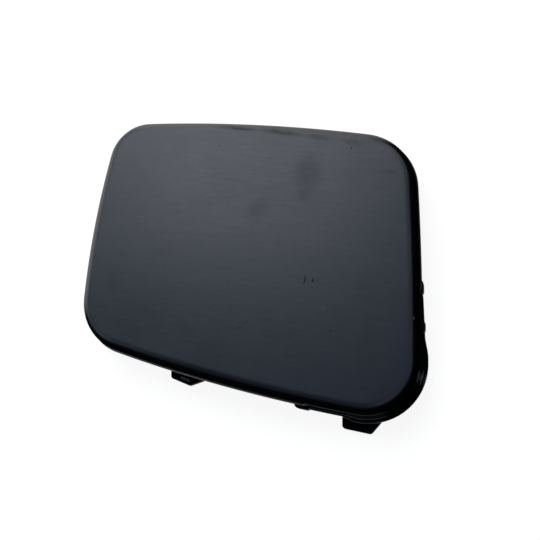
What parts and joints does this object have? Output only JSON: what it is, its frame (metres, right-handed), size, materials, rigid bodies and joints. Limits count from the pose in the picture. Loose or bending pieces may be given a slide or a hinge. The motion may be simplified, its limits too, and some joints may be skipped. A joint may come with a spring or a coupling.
{
  "type": "bumper tow hook cover",
  "caption": "Crowned rounded four-sided moulded cap with hooks and spring clips behind its rim, closing a towing eye opening.",
  "frame": {"origin": "middle of the cover's length and height, in the plane of the clip tips and right hook that it lies on", "axes": "+X along the cover's width, +Y up its face, +Z out of the face"},
  "size_m": [0.1073, 0.0878, 0.0159],
  "materials": {
    "cover": "satin"
  },
  "bodies": {
    "root": {"cover": "cover"}
  },
  "joints": []
}
